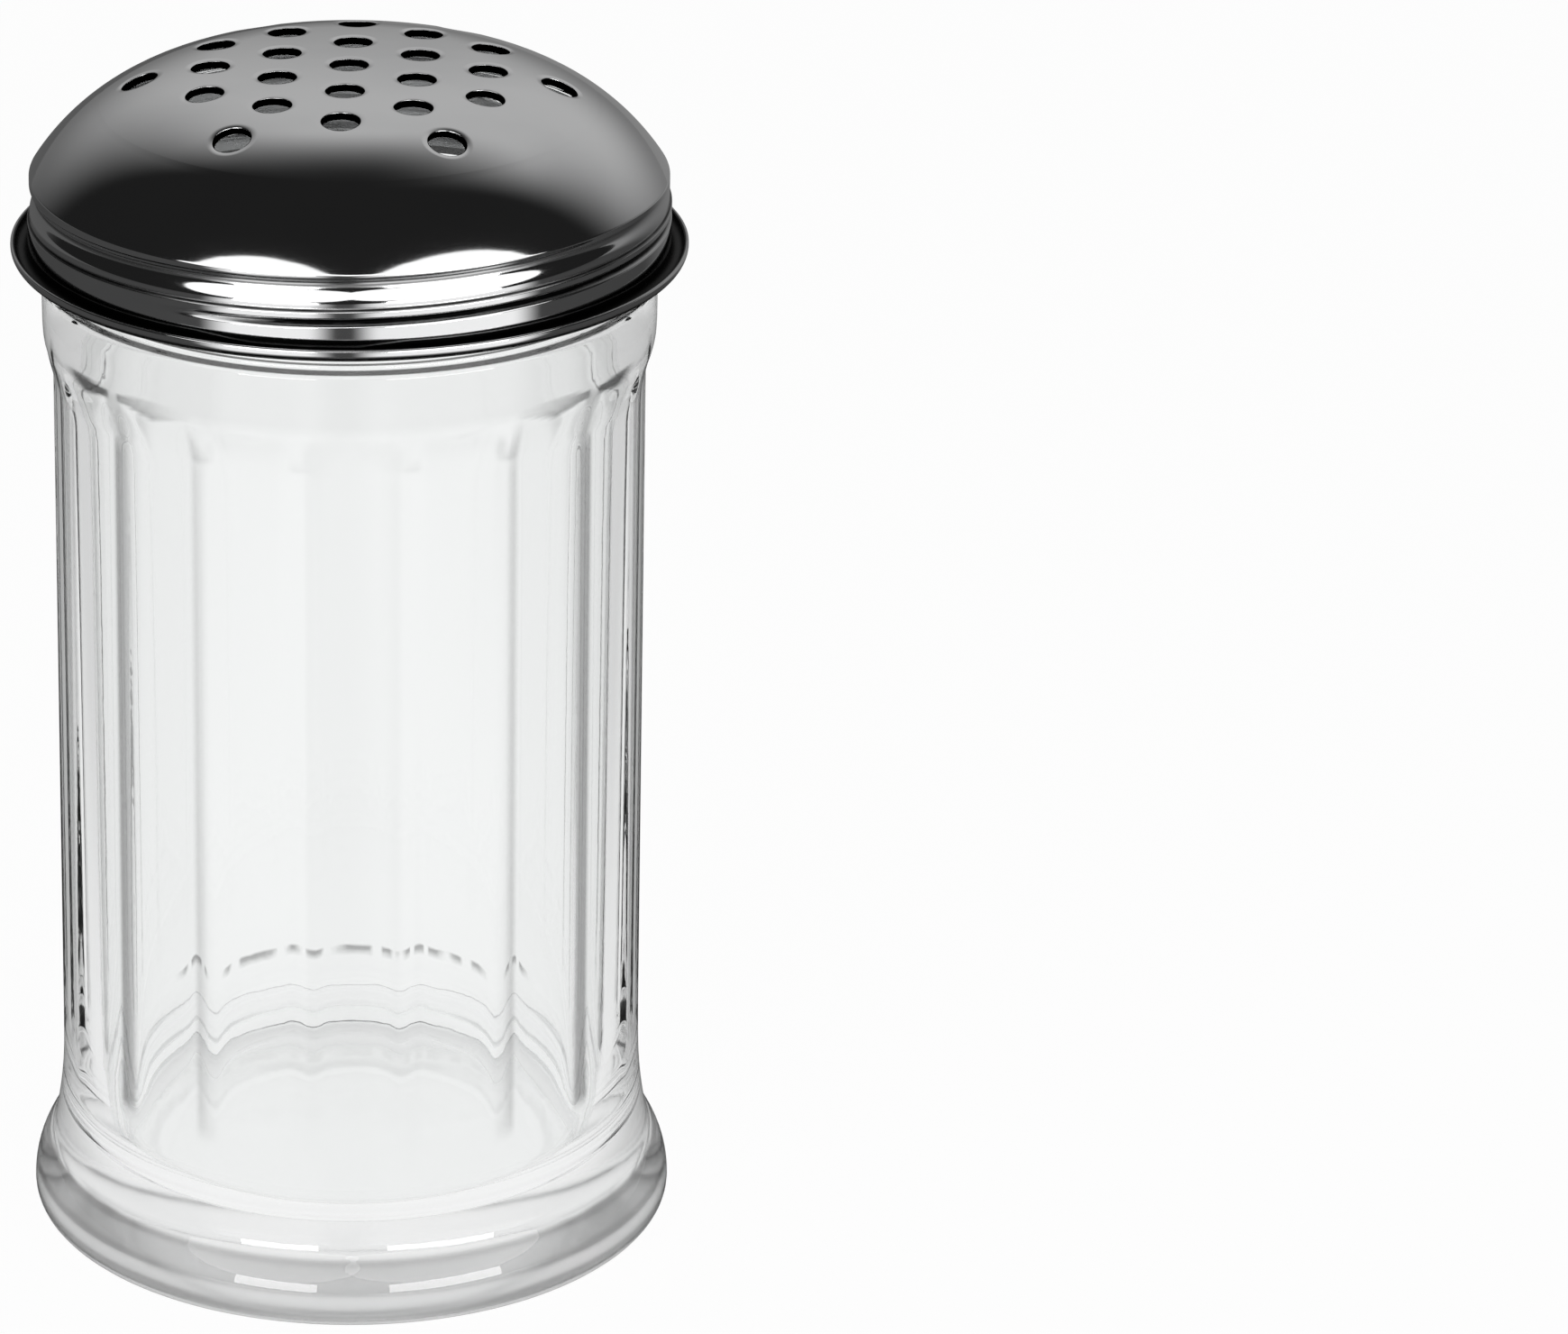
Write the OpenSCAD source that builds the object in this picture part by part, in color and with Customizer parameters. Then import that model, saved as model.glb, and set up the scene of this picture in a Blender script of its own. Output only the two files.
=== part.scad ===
/* [Jar body] */
// Radius over the ribs, just below the collar
rib_top_r = 34.35; // [31:0.05:38]
// How much wider the ribs stand at the foot than at the collar
rib_draft = 0.3; // [0:0.05:0.6]
// Number of flat panels round the jar
panel_count = 18; // [14:1:20]
// Width of the rib left standing between two panels
rib_w = 1.9; // [1.2:0.1:3]
// How far the middle of a panel lies inside the ribs
panel_depth = 0.65; // [0.3:0.05:0.9]
// Radius with which a panel runs out at both of its ends
panel_end_r = 5; // [3:0.5:8]
// Height of the foot's crease to the lower ends of the panels
panel_foot_h = 9.7; // [8:0.1:12]
// Height from the upper ends of the panels to the collar's top edge
panel_collar_h = 6.3; // [5:0.1:9]
// Turn of the first rib from the +X axis, in degrees
rib_turn = 1; // [0:0.5:20]

/* [Jar foot] */
// How far the foot's widest line stands out from the ribs
foot_step = 3.75; // [3:0.05:5]
// Height of the foot's widest line
foot_mid_h = 2; // [1.6:0.1:3]
// Height of the crease on top of the foot
foot_h = 8.8; // [7:0.1:10]
// How far the crease stands out from the ribs
crease_step = 1.35; // [1:0.05:2]
// Height of the hollow sweep from the crease up to the ribs
flare_h = 12.2; // [10:0.1:14]
// How far the standing ring's outer edge lies inside the widest line
ring_inset = 1.9; // [1.5:0.05:2.5]
// Width of the flat standing ring
ring_w = 3.6; // [2:0.1:6]
// Height of the dished underside in its middle
dish_h = 1.6; // [0.5:0.1:3]

/* [Jar collar and neck] */
// Height of the collar's top edge above the table
collar_top_h = 117.6; // [100:0.1:130]
// How far the collar stands out from the ribs
collar_step = 1.15; // [1:0.05:1.5]
// Height of the collar's upright band
collar_h = 4.6; // [3:0.1:6]
// Height of the round sweep below the upright band
collar_sweep_h = 7.8; // [6:0.1:10]
// Radius of the rounding at the collar's top edge
collar_round = 0.7; // [0.4:0.05:1]
// How far the neck lies inside the collar
neck_step = 1.2; // [1:0.05:2]
// Wall of the neck
neck_wall = 3.2; // [2.5:0.1:4]

/* [Jar inside] */
// Thickness of the glass under the cavity's floor
base_t = 8.5; // [6:0.1:11]
// Wall at the ribs, just above the floor
base_wall = 4.3; // [3.8:0.1:6]
// Radius of the corner between floor and wall
floor_round = 7; // [4:0.5:10]

/* [Lid] */
// Thickness of the pressed sheet
lid_wall = 0.5; // [0.4:0.05:0.7]
// Room left on the neck for the glass thread
thread_room = 1.2; // [1:0.05:1.5]
// Clearance between that thread and the lid's grooves
thread_gap = 0.36; // [0.3:0.02:0.6]
// Clearance between the mouth's lip and the lid above it
seat_gap = 0.3; // [0.3:0.02:0.6]
// Depth of the grooves rolled into the skirt
groove_depth = 0.64; // [0.4:0.02:0.9]
// Rise of the rolled grooves from one to the next
groove_pitch = 3.9; // [3:0.1:5]
// Height from the middle of the curled edge to the crest above it
first_crest_h = 1.9; // [1.6:0.1:3]
// Height from the upper groove to the edge of the dome, on the groove's upper flank
dome_edge_h = 0.7; // [0.3:0.05:1.2]
// Height of the dome over its own edge
dome_h = 12.5; // [11:0.1:15]
// Radius of the flatter crown in the middle of the dome
crown_r = 16; // [12:0.5:20]
// Bending radius of that crown
crown_bend_r = 250; // [150:5:400]
// Outer radius of the curled edge's roll
curl_r = 1.25; // [1.1:0.05:1.6]
// Gap between the collar's top edge and the curled edge
curl_gap = 2.5; // [1.5:0.1:4]
// Gap between the end of the curl and the skirt
curl_slit = 1.2; // [0.8:0.1:1.4]

/* [Holes] */
// Diameter of the holes
hole_d = 4.4; // [3:0.1:5.5]
// Distance between neighbouring holes of the hexagon
hole_pitch = 9.15; // [7.5:0.05:9.5]
// Rings of holes round the middle one
hole_rings = 2; // [1:1:2]
// Number of holes on the outer circle
outer_holes = 6; // [3:1:6]
// How far the outer circle of holes lies outside the hexagon's corners
outer_hole_step = 5.7; // [5.2:0.1:7]
// Turn of the whole pattern, in degrees
hole_turn = -3; // [-30:0.5:30]

/* [Hidden] */

// How finely curves are drawn, and the half turns of groove and crest in the skirt
round_fn = 120;
hole_fn = 48;
long_steps = 14;
short_steps = 7;
wave_steps = 8;
half_waves = 3;
// Run past a face by every cut
over = 1;

// Heights and radii of the jar
flare_top_h = foot_h + flare_h;
collar_mid_h = collar_top_h - collar_h;
rib_base_r = rib_top_r + rib_draft;
foot_r = rib_base_r + foot_step;
crease_r = rib_base_r + crease_step;
ring_r = foot_r - ring_inset;
collar_r = rib_top_r + collar_step;
neck_r = collar_r - neck_step;
mouth_r = neck_r - neck_wall;
cavity_base_r = rib_base_r - base_wall;
lip_r = neck_wall / 2;

// Radius of an arc that leaves a straight line and has drifted by d after the length h
function sweep_r(h, d) = (h * h + d * d) / (2 * d);
foot_arc_r = sweep_r(foot_h - foot_mid_h, foot_r - crease_r);
flare_arc_r = sweep_r(flare_h, crease_step);
collar_arc_r = sweep_r(collar_sweep_h, collar_step);
dish_arc_r = sweep_r(ring_r - ring_w, dish_h);

// The lid's skirt and its place over the collar
groove_r = neck_r + thread_room + thread_gap + lid_wall;
crest_r = groove_r + groove_depth;
curl_h = collar_top_h + curl_gap + curl_r;
curl_mid_r = crest_r - lid_wall + curl_r;
top_groove_h = curl_h + first_crest_h + half_waves / 2 * groove_pitch;
dome_edge_z = top_groove_h + dome_edge_h;
lid_top_h = dome_edge_z + dome_h;
outer_hole_r = hole_rings * hole_pitch + outer_hole_step;

// Radius of the skirt's wave at an angle, 180 in a groove and 360 on a crest
function wave_r(a) = crest_r - groove_depth * (1 - cos(a)) / 2;
dome_edge_a = 180 - 360 * dome_edge_h / groove_pitch;
dome_edge_r = wave_r(dome_edge_a);

// The dome: a flat crown that turns into one tighter shoulder arc, whose inside meets the skirt's
crown_a = asin(crown_r / crown_bend_r);
crown_mid = [0, lid_top_h - crown_bend_r];
crown_end = crown_mid + crown_bend_r * [sin(crown_a), cos(crown_a)];
inward = [-sin(crown_a), -cos(crown_a)];
to_edge = [dome_edge_r, dome_edge_z] - crown_end;
shoulder_bend_r = (to_edge * to_edge) / (2 * (to_edge * inward));
shoulder_mid = crown_end + shoulder_bend_r * inward;
shoulder_a = atan2(dome_edge_r - shoulder_mid[0], dome_edge_z - shoulder_mid[1]);
under_a = asin((groove_r - lid_wall - shoulder_mid[0]) / (shoulder_bend_r - lid_wall));

// Tilt and height of the dome's outside at a radius
function dome_tilt(r) =
    r <= crown_r ? asin(r / crown_bend_r) : asin((r - shoulder_mid[0]) / shoulder_bend_r);
function dome_z(r) =
    r <= crown_r
        ? crown_mid[1] + crown_bend_r * cos(dome_tilt(r))
        : shoulder_mid[1] + shoulder_bend_r * cos(dome_tilt(r));

// The mouth's round lip seats under the dome's shoulder
lip_mid_r = mouth_r + lip_r;
lip_reach = shoulder_bend_r - lid_wall - seat_gap - lip_r;
lip_mid_h = shoulder_mid[1] + sqrt(lip_reach * lip_reach - pow(lip_mid_r - shoulder_mid[0], 2));

// Points of an arc, angles counted from the +X axis
function arc(mid, r, from, to, steps) =
    [for (i = [0 : steps]) let (a = from + (to - from) * i / steps) mid + r * [cos(a), sin(a)]];

// Panels lie on flats that lean with the ribs and end in a round run-out
panel_low_h = foot_h + panel_foot_h;
panel_high_h = collar_top_h - panel_collar_h;
panel_base_r = rib_base_r - panel_depth;
panel_top_r = rib_top_r - panel_depth;
panel_w = 2 * rib_top_r * sin(180 / panel_count) - rib_w;
flare_low_r = rib_base_r + flare_arc_r - sqrt(pow(flare_arc_r, 2) - pow(flare_top_h - panel_low_h, 2));
collar_high_r = collar_r - collar_arc_r + sqrt(pow(collar_arc_r, 2) - pow(collar_mid_h - panel_high_h, 2));
function run_out(depth) = sqrt(2 * panel_end_r * depth - depth * depth);
panel_low_mid_h = panel_low_h + run_out(flare_low_r - panel_base_r);
panel_high_mid_h = panel_high_h - run_out(collar_high_r - panel_top_r);

module jar_outline() {
    foot_low = [for (p = arc([0, 0], foot_mid_h, -90, 0, short_steps))
        [ring_r + ring_inset * p[0] / foot_mid_h, foot_mid_h + p[1]]];
    foot_top_a = asin((foot_h - foot_mid_h) / foot_arc_r);
    flare_a = asin(flare_h / flare_arc_r);
    collar_a = asin(collar_sweep_h / collar_arc_r);
    polygon(concat(
        arc([0, dish_h - dish_arc_r], dish_arc_r, 90, 90 - asin((ring_r - ring_w) / dish_arc_r), short_steps),
        foot_low,
        arc([foot_r - foot_arc_r, foot_mid_h], foot_arc_r, 0, foot_top_a, short_steps),
        arc([rib_base_r + flare_arc_r, flare_top_h], flare_arc_r, 180 + flare_a, 180, long_steps),
        arc([collar_r - collar_arc_r, collar_mid_h], collar_arc_r, -collar_a, 0, short_steps),
        arc([collar_r - collar_round, collar_top_h - collar_round], collar_round, 0, 90, short_steps),
        [[neck_r, collar_top_h]],
        arc([lip_mid_r, lip_mid_h], lip_r, 0, 180, long_steps),
        arc([cavity_base_r - floor_round, base_t + floor_round], floor_round, 0, -90, short_steps),
        [[0, base_t]]));
}

module panel_cut() {
    outside = rib_base_r + panel_end_r;
    rotate([90, 0, 0])
        linear_extrude(height = panel_w, center = true)
            polygon(concat(
                arc([panel_base_r + panel_end_r, panel_low_mid_h], panel_end_r, 270, 180, short_steps),
                arc([panel_top_r + panel_end_r, panel_high_mid_h], panel_end_r, 180, 90, short_steps),
                [[outside + over, panel_high_mid_h + panel_end_r],
                 [outside + over, panel_low_mid_h - panel_end_r]]));
}

module jar() {
    color([0.90, 0.92, 0.92, 0.45])
        difference() {
            rotate_extrude($fn = round_fn) jar_outline();
            for (i = [0 : panel_count - 1])
                rotate(rib_turn + 360 / panel_count * (i + 0.5)) panel_cut();
        }
}

// Points down the skirt from an angle of its wave to the lowest crest, moved inwards by inset
function skirt_wave(from, inset) =
    [for (i = [0 : half_waves * wave_steps])
        let (a = from + (180 + 180 * half_waves - from) * i / (half_waves * wave_steps))
            [wave_r(a) - inset, top_groove_h - groove_pitch * (a - 180) / 360]];

// The curl goes under, outwards, up and back towards the skirt
curl_end_a = acos((lid_wall + curl_slit - curl_r) / curl_r);

module lid_section() {
    curl_mid = [curl_mid_r, curl_h];
    inner_r = curl_r - lid_wall;
    polygon(concat(
        arc(crown_mid, crown_bend_r, 90, 90 - crown_a, short_steps),
        arc(shoulder_mid, shoulder_bend_r, 90 - crown_a, 90 - shoulder_a, long_steps),
        skirt_wave(dome_edge_a, 0),
        arc(curl_mid, inner_r, 180, 360 + curl_end_a, long_steps),
        arc(curl_mid, curl_r, 360 + curl_end_a, 180, long_steps),
        [for (i = [half_waves * wave_steps : -1 : 0]) skirt_wave(180, lid_wall)[i]],
        arc(shoulder_mid, shoulder_bend_r - lid_wall, 90 - under_a, 90 - crown_a, long_steps),
        arc(crown_mid, crown_bend_r - lid_wall, 90 - crown_a, 90, short_steps)));
}

module hole_at(x, y) {
    r = norm([x, y]);
    rotate(atan2(y, x))
        translate([r, 0, dome_z(r)])
            rotate([0, dome_tilt(r), 0])
                cylinder(h = 2 * (lid_wall + over), d = hole_d, center = true, $fn = hole_fn);
}

module holes() {
    for (q = [-hole_rings : hole_rings])
        for (s = [-hole_rings : hole_rings])
            if (abs(q + s) <= hole_rings)
                hole_at(hole_pitch * q * sin(60), hole_pitch * (s + q / 2));
    for (i = [0 : outer_holes - 1])
        hole_at(outer_hole_r * cos(360 / outer_holes * i), outer_hole_r * sin(360 / outer_holes * i));
}

module lid() {
    color([0.62, 0.63, 0.64])
        difference() {
            rotate_extrude($fn = round_fn) lid_section();
            rotate(hole_turn) holes();
        }
}

jar();
lid();
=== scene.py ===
import math

import bpy
import numpy as np
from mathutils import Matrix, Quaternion, Vector
from mathutils.geometry import delaunay_2d_cdt


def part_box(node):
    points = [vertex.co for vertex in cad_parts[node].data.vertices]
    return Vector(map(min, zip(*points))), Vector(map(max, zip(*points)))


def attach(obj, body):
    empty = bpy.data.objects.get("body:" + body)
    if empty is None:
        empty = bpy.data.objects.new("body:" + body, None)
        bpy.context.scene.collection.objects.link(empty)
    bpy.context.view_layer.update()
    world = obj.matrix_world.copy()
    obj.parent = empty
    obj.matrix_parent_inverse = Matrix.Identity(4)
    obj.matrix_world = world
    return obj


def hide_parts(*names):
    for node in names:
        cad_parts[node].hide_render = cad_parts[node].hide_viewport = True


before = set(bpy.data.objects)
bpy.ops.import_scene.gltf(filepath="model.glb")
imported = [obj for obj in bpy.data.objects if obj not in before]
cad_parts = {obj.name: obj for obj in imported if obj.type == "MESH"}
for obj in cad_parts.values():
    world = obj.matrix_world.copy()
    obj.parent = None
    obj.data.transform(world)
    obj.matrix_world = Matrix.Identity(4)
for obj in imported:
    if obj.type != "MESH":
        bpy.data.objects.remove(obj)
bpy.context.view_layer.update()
jarHigh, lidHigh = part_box("jar")[1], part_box("lid")[1]
mm = 0.001    # lengths of the pieces are written in millimetres


class Wire:
    # a socket that can stand in a sum: every operator adds its Math node
    def __init__(self, nodes, socket):
        self.nodes, self.socket = nodes, socket

    def math(self, operation, first, second):
        return self.nodes.add("ShaderNodeMath", {"operation": operation}, {0: first, 1: second})

    def __add__(self, other): return self.math("ADD", self, other)
    def __radd__(self, other): return self.math("ADD", other, self)
    def __sub__(self, other): return self.math("SUBTRACT", self, other)
    def __rsub__(self, other): return self.math("SUBTRACT", other, self)
    def __mul__(self, other): return self.math("MULTIPLY", self, other)
    def __rmul__(self, other): return self.math("MULTIPLY", other, self)
    def __truediv__(self, other): return self.math("DIVIDE", self, other)
    def __rtruediv__(self, other): return self.math("DIVIDE", other, self)
    def __pow__(self, other): return self.math("POWER", self, other)
    def __rpow__(self, other): return self.math("POWER", other, self)

    def most(self, other): return self.math("MAXIMUM", self, other)

    def rise(self, low, high):
        # 0 below low, 1 above high, smooth between them
        return self.nodes.add("ShaderNodeMapRange", {"interpolation_type": "SMOOTHSTEP"},
                              {"Value": self, "From Min": low, "From Max": high})


class Nodes:
    # the nodes of one material or of the world
    def __init__(self, owner):
        owner.use_nodes = True
        self.tree = owner.node_tree
        self.tree.nodes.clear()

    def add(self, kind, settings=None, inputs=None, out=0):
        node = self.tree.nodes.new(kind)
        for name, value in (settings or {}).items():
            setattr(node, name, value)
        for name, value in (inputs or {}).items():
            socket = node.inputs[name]
            if isinstance(value, Wire):
                self.tree.links.new(value.socket, socket)
            else:
                socket.default_value = value
        return Wire(self, node.outputs[out] if len(node.outputs) else None)

    def blend(self, factor, first, second):
        # colour mix: 0 gives the first, 1 the second
        return self.add("ShaderNodeMix", {"data_type": "RGBA"}, {"Factor": factor, 6: first, 7: second}, 2)

    def noise(self, place, scale, detail=2.0, roughness=0.5):
        return self.add("ShaderNodeTexNoise", {}, {"Vector": place, "Scale": scale, "Detail": detail,
                                                   "Roughness": roughness})

    def stretched(self, place, sizes):
        return self.add("ShaderNodeMapping", {}, {"Vector": place, "Scale": sizes})

    def place(self):
        # where a point lies on its piece, in metres
        return self.add("ShaderNodeTexCoord", {}, {}, 3)

    def mark(self, name):
        # a value that the mesh carries at each vertex
        return self.add("ShaderNodeAttribute", {"attribute_name": name}, {}, "Fac")

    def parts(self, vector):
        # its x, y and z
        outs = self.add("ShaderNodeSeparateXYZ", {}, {0: vector}).socket.node.outputs
        return [Wire(self, out) for out in outs]

    def rays(self):
        # 1 for what the camera sees directly, through glass, and mirrored
        outs = self.add("ShaderNodeLightPath").socket.node.outputs
        return [Wire(self, outs[k]) for k in ("Is Camera Ray", "Is Transmission Ray", "Is Glossy Ray")]

    def bump(self, strength, height, waves):
        return self.add("ShaderNodeBump", {}, {"Strength": strength, "Distance": height * mm, "Height": waves})

    def principled(self, inputs):
        shader = self.add("ShaderNodeBsdfPrincipled", {}, inputs)
        self.add("ShaderNodeOutputMaterial", {}, {"Surface": shader})


# the photograph's camera: pixels, metres and degrees
photo = {"width": 1740, "height": 1480, "focalPixels": 7424.0, "axisX": 388.85, "middleY": 739.15,
         "distance": 0.790, "pitch": 22.675, "aim": (0, 0, 0.068), "roll": 0.12}


def standCamera():
    data = bpy.data.cameras.new("photoCamera")
    camera = bpy.data.objects.new("photoCamera", data)
    bpy.context.scene.collection.objects.link(camera)
    data.sensor_width = 36
    data.lens = photo["focalPixels"] / photo["width"] * data.sensor_width
    data.shift_x = (photo["width"] / 2 - photo["axisX"]) / photo["width"]
    data.shift_y = (photo["middleY"] - photo["height"] / 2) / photo["width"]
    data.clip_start, data.clip_end = 0.05, 50
    pitch = math.radians(photo["pitch"])
    aim = Vector(photo["aim"])
    camera.location = aim + photo["distance"] * Vector((0, -math.cos(pitch), math.sin(pitch)))
    camera.rotation_mode = "QUATERNION"
    look = (aim - camera.location).to_track_quat("-Z", "Y")
    camera.rotation_quaternion = look @ Quaternion((0, 0, 1), -math.radians(photo["roll"]))
    bpy.context.scene.camera = camera


def arc(midR, midZ, radius, fromA, toA, steps):
    # (r, z) points, angles in degrees from the outward direction
    a = np.radians(np.linspace(fromA, toA, steps + 1))
    return np.stack([midR + radius * np.cos(a), midZ + radius * np.sin(a)], 1)


def ringFaces(rows, columns, start=0, flip=False):
    # quads between successive rings of vertices
    i, j = np.meshgrid(np.arange(rows - 1), np.arange(columns), indexing="ij")
    a, b = start + i * columns + j, start + i * columns + (j + 1) % columns
    c, d = b + columns, a + columns
    order = (a, d, c, b) if flip else (a, b, c, d)
    return np.stack(order, -1).reshape(-1, 4)


def fanFaces(centre, start, columns, flip=False):
    j = np.arange(columns)
    k = (j + 1) % columns
    first, second = (k, j) if flip else (j, k)
    return np.stack((np.full(columns, centre), start + first, start + second), -1)


def smoothStep(x, low, high):
    t = np.clip((x - low) / (high - low), 0, 1)
    return t * t * (3 - 2 * t)


def fromFront(turns):
    # -0.5 to 0.5 of a turn: 0 in front, rising to the right
    return ((turns + math.pi / 2 + math.pi) % math.tau - math.pi) / math.tau


def makePiece(name, verts, faces, materials, loopNormals=None, finishes=None, marks=None):
    # finishes gives each face the number of its material, marks are named values for each vertex
    mesh = bpy.data.meshes.new(name)
    mesh.from_pydata((np.asarray(verts) * mm).tolist(), [], [list(map(int, f)) for f in faces])
    mesh.validate()
    mesh.shade_smooth()
    if loopNormals is not None:
        mesh.normals_split_custom_set(loopNormals)
    for material in materials:
        mesh.materials.append(material)
    if finishes is not None:
        mesh.polygons.foreach_set("material_index", np.asarray(finishes, dtype=np.int32))
    for mark, values in (marks or {}).items():
        mesh.attributes.new(mark, "FLOAT", "POINT").data.foreach_set("value", np.asarray(values, dtype=np.float32))
    piece = bpy.data.objects.new(name, mesh)
    bpy.context.scene.collection.objects.link(piece)
    return piece


# the glass jar
jarForm = {
    "ribTopR": 34.35, "ribDraft": 0.3, "ribW": 1.9, "ribTurn": 1.0, "ribSoft": 1.4,
    "panels": 18, "panelDepth": 0.65, "panelEndR": 5.0, "panelLow": 18.5, "panelHigh": 111.3,
    "soften": 0.4, "endSoft": 0.10, "fadeLow": 9.0, "fadeHigh": 9.0,    # how the mould's edges are worn round
    "footMidH": 2.0, "footH": 8.8, "creaseStep": 1.35, "flareH": 12.2, "filletR": 0.12, "filletH": 0.6,
    "ringInset": 1.9, "ringW": 3.6, "dishH": 1.6, "baseT": 8.5, "baseWall": 4.3, "floorRound": 7.0,
    "collarTop": 117.6, "collarStep": 1.15, "collarH": 4.6, "collarSweep": 7.8, "collarRound": 0.7,
    "neckStep": 1.2, "neckWall": 3.2, "threadH": 1.15, "threadW": 2.3, "threadZ": 126.3, "threadTurns": 1.6,
    "threadBack": 0.35, "threadFade": 0.08, "threadRound": 0.9, "pitch": 3.9,
    # rows and columns of the mesh, the columns in twentieths of a panel from its middle
    "rowGap": 0.36, "fineGap": 0.38, "fineBelow": 5.2, "fineAbove": 3.2, "rowsLow": 103.5,
    "creaseRows": ((0.15, -0.08), (0.088, 0.08)), "neckRows": ((0.25, 0.02), (0.04, 0.2)),
    "wallRows": (0.06, 0.15, 0.3, 0.5, 0.7, 0.85, 0.95), "floorRows": (18.0, 13.0, 8.0, 4.0, 1.5),
    "columns": (0, 2.2, 4.4, 6.0, 7.1, 7.6, 7.9, 8.15, 8.35, 8.55, 8.75, 8.95, 9.2, 9.55),
    # where the painted shade marks start and end
    "ledgeTop": 111.5, "ledgeH": 2.2, "ledgeThin": 0.75, "ledgeDrop": 0.5, "ledgeEnd": (0.82, 0.95),
    "ledgeOut": 0.25, "ledgeIn": 0.15, "ridgeZ": 16.0, "ridgeHalf": 0.3, "ridgeEnd": (0.6, 0.75),
    "ribMarkLow": (20.0, 22.5), "ribMarkFaint": (103.0, 106.5), "ribMarkHigh": (110.5, 112.0), "faint": 0.35,
    "ribMarkOut": 0.8, "ribMarkIn": 0.3, "rimMark": (0.25, 0.9),
    # painted shade: how much darker the thick glass of the foot and the collar is painted at each height
    "bandShadeByHeight": ((0.4, 0.6), (1.3, 0.75), (1.7, 1.3), (2.4, 1.2), (3.0, 0.7), (4.0, 0.6), (4.5, 1.2),
                  (4.9, 1.15), (5.4, 1.0), (7.2, 1.0), (7.7, 1.3), (8.0, 1.2), (8.3, 0.3), (9.2, 0.14),
                  (10.4, 0.2), (13.8, 0.0), (110.0, 0.0), (111.3, 0.24), (117.0, 0.24), (117.6, 0.1))}


def sweepR(height, drift):
    # radius of an arc that leaves a straight line and has drifted so far after a height
    return (height * height + drift * drift) / (2 * drift)


def jarColumns(f):
    # angles round the jar, close together where a panel meets its rib
    one = sorted([*(-c for c in f["columns"][1:]), *f["columns"], 10.0])
    pitch = 360 / f["panels"]
    turns = [f["ribTurn"] + pitch * (k + 0.5) + o * pitch / 20 for k in range(f["panels"]) for o in one]
    offsets = [o * pitch / 20 for k in range(f["panels"]) for o in one]
    return np.radians(turns), np.radians(offsets)


def jarRows(f):
    # (r, z) down the middle of a rib, from under the jar round to the cavity's floor
    ribBase = f["ribTopR"] + f["ribDraft"]
    footR, crease = jarHigh.x / mm, ribBase + f["creaseStep"]
    ringR = footR - f["ringInset"]
    flareTop, collarMid = f["footH"] + f["flareH"], f["collarTop"] - f["collarH"]
    collarR = f["ribTopR"] + f["collarStep"]
    neckR = collarR - f["neckStep"]
    lipR = f["neckWall"] / 2
    mouthR = neckR - f["neckWall"]
    lipZ = jarHigh.z / mm - lipR
    dishR = sweepR(ringR - f["ringW"], f["dishH"])
    dishA = math.degrees(math.asin((ringR - f["ringW"]) / dishR))
    footArc = sweepR(f["footH"] - f["footMidH"], footR - crease)
    footA = math.degrees(math.asin((f["footH"] - f["footMidH"]) / footArc))
    flareArc = sweepR(f["flareH"], f["creaseStep"])
    collarArc = sweepR(f["collarSweep"], f["collarStep"])
    under = arc(0, f["dishH"] - dishR, dishR, 90, 90 - dishA, 6)[1:]
    low = arc(0, 0, 1, -90, 0, 8) * [f["ringInset"], f["footMidH"]] + [ringR, f["footMidH"]]
    foot = arc(footR - footArc, f["footMidH"], footArc, 0, footA - 3, 22)[1:]
    edge = [[crease + r, f["footH"] + z] for r, z in f["creaseRows"]]
    sweepLow, rowsLow = collarMid - f["collarSweep"], f["rowsLow"]
    fine = np.arange(flareTop - f["fineBelow"], flareTop + f["fineAbove"], f["fineGap"])
    fillet = f["footH"] + np.geomspace(1.25, fine[0] - f["footH"] + 1, 15)[:-1] - 1
    wall = np.linspace(fine[-1], rowsLow, 8)[1:-1]
    body = []
    for z in (*fillet, *fine, *wall, *np.arange(rowsLow, collarMid - 0.2, f["rowGap"])):
        r = f["ribTopR"] + f["ribDraft"] * (sweepLow - z) / (sweepLow - flareTop)
        if z < flareTop:
            r = ribBase + flareArc - math.sqrt(flareArc ** 2 - (flareTop - z) ** 2)
            r += f["filletR"] * math.exp((f["footH"] - z) / f["filletH"])
        if z > sweepLow:
            r = collarR - collarArc + math.sqrt(collarArc ** 2 - (collarMid - z) ** 2)
        body.append([r, z])
    rounded = arc(collarR - f["collarRound"], f["collarTop"] - f["collarRound"], f["collarRound"], 0, 90, 6)
    upright = [[collarR, collarMid + 0.8], [collarR, f["collarTop"] - 2]]
    ledge = [[neckR + r, f["collarTop"] + z] for r, z in f["neckRows"]]
    neck = [[neckR, z] for z in np.arange(f["collarTop"] + 0.5, lipZ - 0.1, f["rowGap"])]
    lip = arc(mouthR + lipR, lipZ, lipR, 0, 180, 12)
    cavity = ribBase - f["baseWall"]
    corner = f["baseT"] + f["floorRound"]
    inside = [[mouthR + (cavity - mouthR) * t, lipZ + (corner - lipZ) * t] for t in f["wallRows"]]
    floor = arc(cavity - f["floorRound"], corner, f["floorRound"], 0, -90, 10)
    middle = [[r, f["baseT"]] for r in f["floorRows"]]
    rows = np.array([*under, *low, *foot, *edge, *body, *upright, *rounded, *ledge, *neck, *lip, *inside, *floor,
                     *middle])
    counts = {"footFrom": len(under), "bodyFrom": len(under) + len(low) + len(foot) + len(edge)}
    counts["bodyTo"] = counts["bodyFrom"] + len(body)
    counts["neckFrom"] = counts["bodyTo"] + len(upright) + len(rounded) + len(ledge)
    counts["neckTo"] = counts["neckFrom"] + len(neck)
    return rows, counts


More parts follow.
